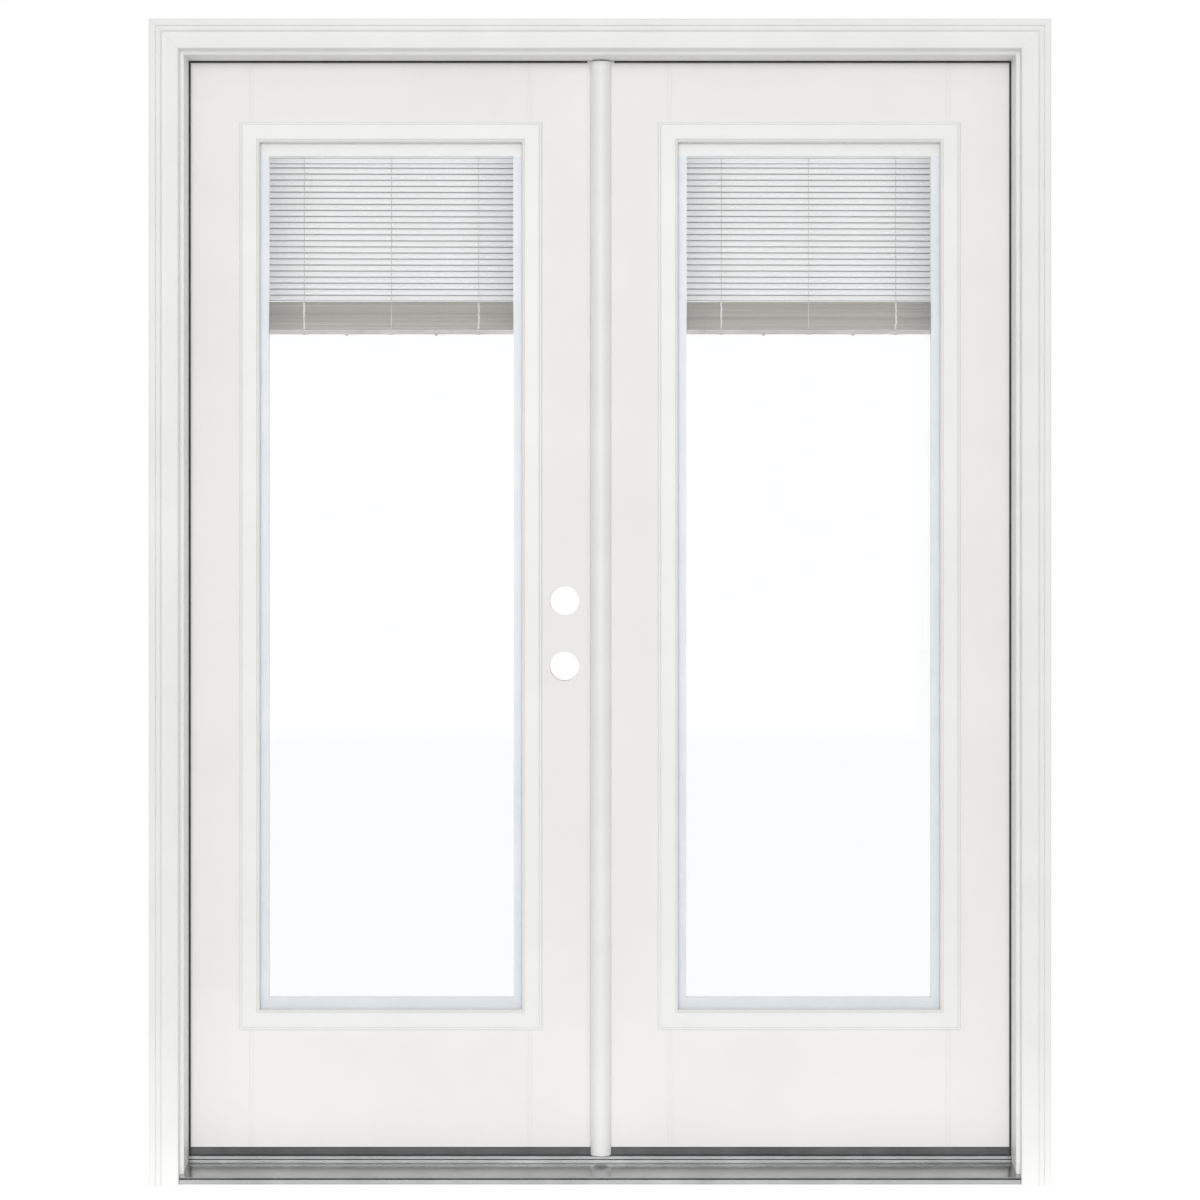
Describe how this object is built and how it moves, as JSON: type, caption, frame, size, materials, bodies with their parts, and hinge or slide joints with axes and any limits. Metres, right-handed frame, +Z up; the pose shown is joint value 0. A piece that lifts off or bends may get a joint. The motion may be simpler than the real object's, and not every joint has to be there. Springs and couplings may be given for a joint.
{
  "type": "french doors",
  "caption": "Pre-hung double inswing patio door with full lites, blinds sealed between the panes, astragal, casing, jambs and a sloped sill.",
  "frame": {"origin": "middle of the sill's underside, in the plane of the casing's back", "axes": "+X to the right seen from outside, +Y from outside to inside, +Z up"},
  "size_m": [1.638, 0.1667, 2.1185],
  "materials": {
    "moulding": "satin white PVC and primed wood, painted",
    "slab": "smooth white composite skin",
    "lite": "moulded white polypropylene, fine texture",
    "timber": "laminated wood, bare",
    "foam": "rigid foam",
    "glass": "clear, polished",
    "blind_white": "white enamelled aluminium",
    "blind_channel": "pale blue-white enamel",
    "cord": "braided polyester",
    "seal": "matt black foam and vinyl",
    "sweep": "dark grey vinyl",
    "sill": "mill finish, extruded, satin",
    "substrate": "wood composite",
    "steel": "satin nickel plate"
  },
  "bodies": {
    "frame": {"jamb_left": "moulding", "jamb_right": "moulding", "jamb_head": "moulding", "casing_left": "moulding", "casing_right": "moulding", "casing_head": "moulding", "weatherstrips": "seal", "sill_substrate": "substrate", "sill_deck": "sill", "sill_cap": "sill", "corner_pads": "seal", "hinge_frame_leaves": "steel", "hinge_pins": "steel", "frame_screws": "steel", "bolt_keepers": "steel"},
    "active_leaf": {"active_outer_skin": "slab", "active_inner_skin": "slab", "active_hinge_stile": "timber", "active_lock_stile": "timber", "active_rails": "timber", "active_lock_block": "timber", "active_core": "foam", "active_lite_frame_outer": "lite", "active_lite_frame_inner": "lite", "active_panes": "glass", "active_blind_channels": "blind_channel", "active_hanging_slats": "blind_white", "active_cords": "cord", "active_sweep": "sweep", "active_hinge_leaves": "steel", "active_screws": "steel"},
    "active_blind": {"active_gathered_slats": "blind_white", "active_bottom_rail": "blind_white"},
    "active_lift": {"active_lift_slider": "lite"},
    "active_tilt": {"active_tilt_slider": "lite"},
    "passive_leaf": {"passive_outer_skin": "slab", "passive_inner_skin": "slab", "passive_hinge_stile": "timber", "passive_lock_stile": "timber", "passive_rails": "timber", "passive_lock_block": "timber", "passive_core": "foam", "passive_lite_frame_outer": "lite", "passive_lite_frame_inner": "lite", "passive_panes": "glass", "passive_blind_channels": "blind_channel", "passive_hanging_slats": "blind_white", "passive_cords": "cord", "passive_sweep": "sweep", "passive_hinge_leaves": "steel", "passive_screws": "steel", "astragal": "moulding", "astragal_seal": "seal", "strike_plates": "steel"},
    "passive_blind": {"passive_gathered_slats": "blind_white", "passive_bottom_rail": "blind_white"},
    "passive_lift": {"passive_lift_slider": "lite"},
    "passive_tilt": {"passive_tilt_slider": "lite"},
    "top_bolt_slide": {"top_bolt": "steel"},
    "bottom_bolt_slide": {"bottom_bolt": "steel"}
  },
  "joints": [
    {"name": "active_swing", "type": "hinge", "parent": "frame", "child": "active_leaf", "pos_m": [-0.769, 0.1224, 1.06], "axis": [0, 0, 1], "range_deg": [0, 170]},
    {"name": "active_blind_lift", "type": "slide", "parent": "active_leaf", "child": "active_blind", "axis": [0, 0, 1], "range_m": [-1.225, 0.25], "deforming": ["active_hanging_slats", "active_cords"]},
    {"name": "active_lift_slide", "type": "slide", "parent": "active_leaf", "child": "active_lift", "axis": [0, 0, 1], "range_m": [-0.25, 1.225]},
    {"name": "active_tilt_slide", "type": "slide", "parent": "active_leaf", "child": "active_tilt", "axis": [0, 0, 1], "range_m": [-0.08, 0]},
    {"name": "passive_swing", "type": "hinge", "parent": "frame", "child": "passive_leaf", "pos_m": [0.769, 0.1224, 1.06], "axis": [0, 0, -1], "range_deg": [0, 170]},
    {"name": "passive_blind_lift", "type": "slide", "parent": "passive_leaf", "child": "passive_blind", "axis": [0, 0, 1], "range_m": [-1.225, 0.25], "deforming": ["passive_hanging_slats", "passive_cords"]},
    {"name": "passive_lift_slide", "type": "slide", "parent": "passive_leaf", "child": "passive_lift", "axis": [0, 0, 1], "range_m": [-0.25, 1.225]},
    {"name": "passive_tilt_slide", "type": "slide", "parent": "passive_leaf", "child": "passive_tilt", "axis": [0, 0, 1], "range_m": [-0.08, 0]},
    {"name": "top_bolt_throw", "type": "slide", "parent": "passive_leaf", "child": "top_bolt_slide", "axis": [0, 0, 1], "range_m": [0, 0.019]},
    {"name": "bottom_bolt_throw", "type": "slide", "parent": "passive_leaf", "child": "bottom_bolt_slide", "axis": [0, 0, -1], "range_m": [0, 0.019]}
  ],
  "couplings": [
    {"joint": "active_lift_slide", "follows": "active_blind_lift", "ratio": -1},
    {"joint": "passive_lift_slide", "follows": "passive_blind_lift", "ratio": -1},
    {"joint": "passive_swing", "follows": "active_swing", "ratio": 0.9}
  ]
}
